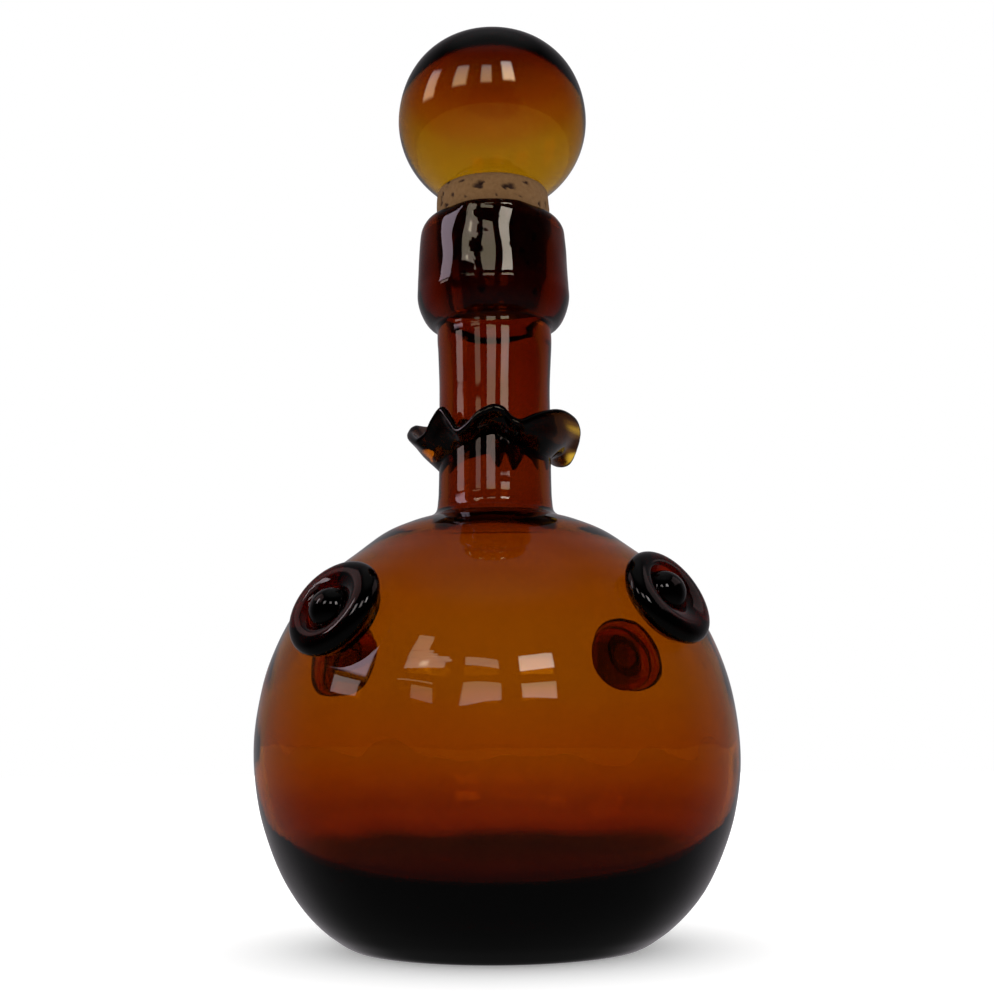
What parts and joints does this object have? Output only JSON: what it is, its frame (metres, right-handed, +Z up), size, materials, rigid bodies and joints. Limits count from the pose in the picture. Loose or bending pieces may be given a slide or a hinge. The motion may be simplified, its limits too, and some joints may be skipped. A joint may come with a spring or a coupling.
{
  "type": "decanter",
  "caption": "Round-bodied amber glass decanter with button prunts, a wavy glass collar on its neck, a cup mouth and a hollow glass ball stopper set on a tapered cork.",
  "frame": {"origin": "centre of the flat ring that the decanter stands on", "axes": "+Z up along the axis of the bulb, neck and stopper; -Y is the side that faces the viewer, with two prunts"},
  "size_m": [0.13, 0.13, 0.2592],
  "materials": {
    "amber_glass": "fire-polished, dark amber",
    "amber_glass_thick": "fire-polished, nearly black where it is thick",
    "honey_glass": "fire-polished, honey amber",
    "cork": "natural cork, matt, with dark pores"
  },
  "bodies": {
    "bottle_body": {"bottle": "amber_glass", "ruffle_collar": "amber_glass_thick", "prunt_front_left": "amber_glass_thick", "prunt_front_right": "amber_glass_thick", "prunt_back_right": "amber_glass_thick", "prunt_back_left": "amber_glass_thick"},
    "stopper": {"stopper_ball": "honey_glass", "stopper_cork": "cork"}
  },
  "joints": [
    {"name": "stopper_lift", "type": "slide", "parent": "bottle_body", "child": "stopper", "axis": [0, 0, 1], "range_m": [0, 0.05]}
  ]
}
